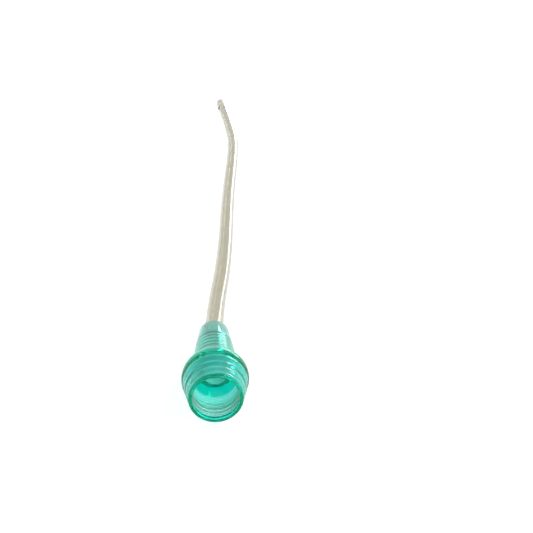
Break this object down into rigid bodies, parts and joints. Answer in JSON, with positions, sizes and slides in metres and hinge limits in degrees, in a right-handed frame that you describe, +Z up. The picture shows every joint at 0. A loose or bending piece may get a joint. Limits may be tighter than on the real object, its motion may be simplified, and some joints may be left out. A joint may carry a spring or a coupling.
{
  "type": "nelaton catheter",
  "caption": "Short clear catheter tube with a closed round tip and side eyes, bonded into a green moulded funnel that takes a drainage connector.",
  "frame": {"origin": "on the table, under the middle of the funnel connector", "axes": "+Z up, +Y from the funnel's mouth towards the catheter's tip, +X to the right of that"},
  "size_m": [0.0224, 0.2601, 0.0148],
  "materials": {
    "green_pvc": "clear green moulded PVC, glossy",
    "clear_pvc": "clear extruded PVC, smooth"
  },
  "bodies": {
    "root": {"funnel_connector": "green_pvc", "catheter_tube": "clear_pvc"}
  },
  "joints": []
}
